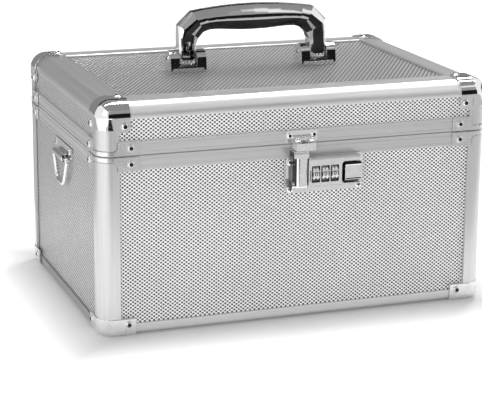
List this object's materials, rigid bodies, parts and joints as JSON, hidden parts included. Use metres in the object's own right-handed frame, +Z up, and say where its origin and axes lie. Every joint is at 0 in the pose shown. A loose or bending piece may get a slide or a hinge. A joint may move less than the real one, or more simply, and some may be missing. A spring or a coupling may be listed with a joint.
{
  "type": "medication lock box",
  "caption": "Aluminium-framed lock box with dimpled panels, a hinged lid, folding handle, dial-lock latch, slide button and side strap rings.",
  "frame": {"origin": "centre of the footprint, lock and hinges included, on the plane that the bottom corner caps stand on", "axes": "+Z up, -Y the front with the lock, +X to the right seen from the front"},
  "size_m": [0.3102, 0.228, 0.2196],
  "materials": {
    "dimpled_board": "silver dimpled sheet on a board core",
    "frame": "satin, brushed along its length",
    "corner_plates": "satin plated, domed rivets",
    "chrome": "polished",
    "steel": "satin",
    "lining": "matt foam-backed cloth"
  },
  "bodies": {
    "base": {"base_front_panel": "dimpled_board", "base_back_panel": "dimpled_board", "base_left_panel": "dimpled_board", "base_right_panel": "dimpled_board", "bottom_panel": "dimpled_board", "base_post_back_right": "frame", "base_post_back_left": "frame", "base_post_front_left": "frame", "base_post_front_right": "frame", "bottom_frame": "frame", "base_rim": "frame", "bottom_corner_back_right": "corner_plates", "bottom_corner_back_left": "corner_plates", "bottom_corner_front_left": "corner_plates", "bottom_corner_front_right": "corner_plates", "base_rim_corner_back_right": "corner_plates", "base_rim_corner_back_left": "corner_plates", "base_rim_corner_front_left": "corner_plates", "base_rim_corner_front_right": "corner_plates", "lock_housing": "chrome", "strap_ring_bracket_left": "chrome", "strap_ring_bracket_right": "chrome", "hinge_base_leaf_left": "steel", "hinge_base_leaf_right": "steel", "lock_back_plate": "steel", "dial_spindle": "steel", "base_lining": "lining"},
    "lid": {"lid_top_panel": "dimpled_board", "lid_front_panel": "dimpled_board", "lid_back_panel": "dimpled_board", "lid_left_panel": "dimpled_board", "lid_right_panel": "dimpled_board", "lid_post_back_right": "frame", "lid_post_back_left": "frame", "lid_post_front_left": "frame", "lid_post_front_right": "frame", "lid_rim": "frame", "lid_top_frame": "frame", "lid_rim_corner_back_right": "corner_plates", "lid_rim_corner_back_left": "corner_plates", "lid_rim_corner_front_left": "corner_plates", "lid_rim_corner_front_right": "corner_plates", "lid_corner_cap_back_right": "chrome", "lid_corner_cap_back_left": "chrome", "lid_corner_cap_front_left": "chrome", "lid_corner_cap_front_right": "chrome", "strike_plate": "chrome", "handle_bracket_left": "chrome", "handle_bracket_right": "chrome", "hinge_lid_leaf_left": "steel", "hinge_lid_leaf_right": "steel", "lid_lining": "lining"},
    "handle": {"handle": "chrome"},
    "slide_button": {"slide_button": "chrome"},
    "latch_arm": {"latch_arm": "chrome"},
    "dial_1": {"dial_1": "steel"},
    "dial_2": {"dial_2": "steel"},
    "dial_3": {"dial_3": "steel"},
    "strap_ring_left": {"strap_ring_left": "chrome"},
    "strap_ring_right": {"strap_ring_right": "chrome"}
  },
  "joints": [
    {"name": "lid_hinge", "type": "hinge", "parent": "base", "child": "lid", "pos_m": [0, 0.111, 0.13285], "axis": [-1, 0, 0], "range_deg": [0, 95]},
    {"name": "handle_fold", "type": "hinge", "parent": "lid", "child": "handle", "pos_m": [0, 0.0027, 0.1796], "axis": [1, 0, 0], "range_deg": [-85, 85]},
    {"name": "latch_arm_swing", "type": "hinge", "parent": "base", "child": "latch_arm", "pos_m": [0, -0.1078, 0.1034], "axis": [1, 0, 0], "range_deg": [0, 65]},
    {"name": "dial_1_turn", "type": "hinge", "parent": "base", "child": "dial_1", "pos_m": [0.0085, -0.1068, 0.1116], "axis": [1, 0, 0], "continuous": true},
    {"name": "dial_2_turn", "type": "hinge", "parent": "base", "child": "dial_2", "pos_m": [0.01585, -0.1068, 0.1116], "axis": [1, 0, 0], "continuous": true},
    {"name": "dial_3_turn", "type": "hinge", "parent": "base", "child": "dial_3", "pos_m": [0.0232, -0.1068, 0.1116], "axis": [1, 0, 0], "continuous": true},
    {"name": "slide_button_travel", "type": "slide", "parent": "base", "child": "slide_button", "axis": [1, 0, 0], "range_m": [0, 0.003], "stiffness_N_per_m": 300},
    {"name": "strap_ring_left_swing", "type": "hinge", "parent": "base", "child": "strap_ring_left", "pos_m": [-0.1519, 0.0027, 0.1116], "axis": [0, 1, 0], "range_deg": [0, 120]},
    {"name": "strap_ring_right_swing", "type": "hinge", "parent": "base", "child": "strap_ring_right", "pos_m": [0.1519, 0.0027, 0.1116], "axis": [0, -1, 0], "range_deg": [0, 120]}
  ]
}
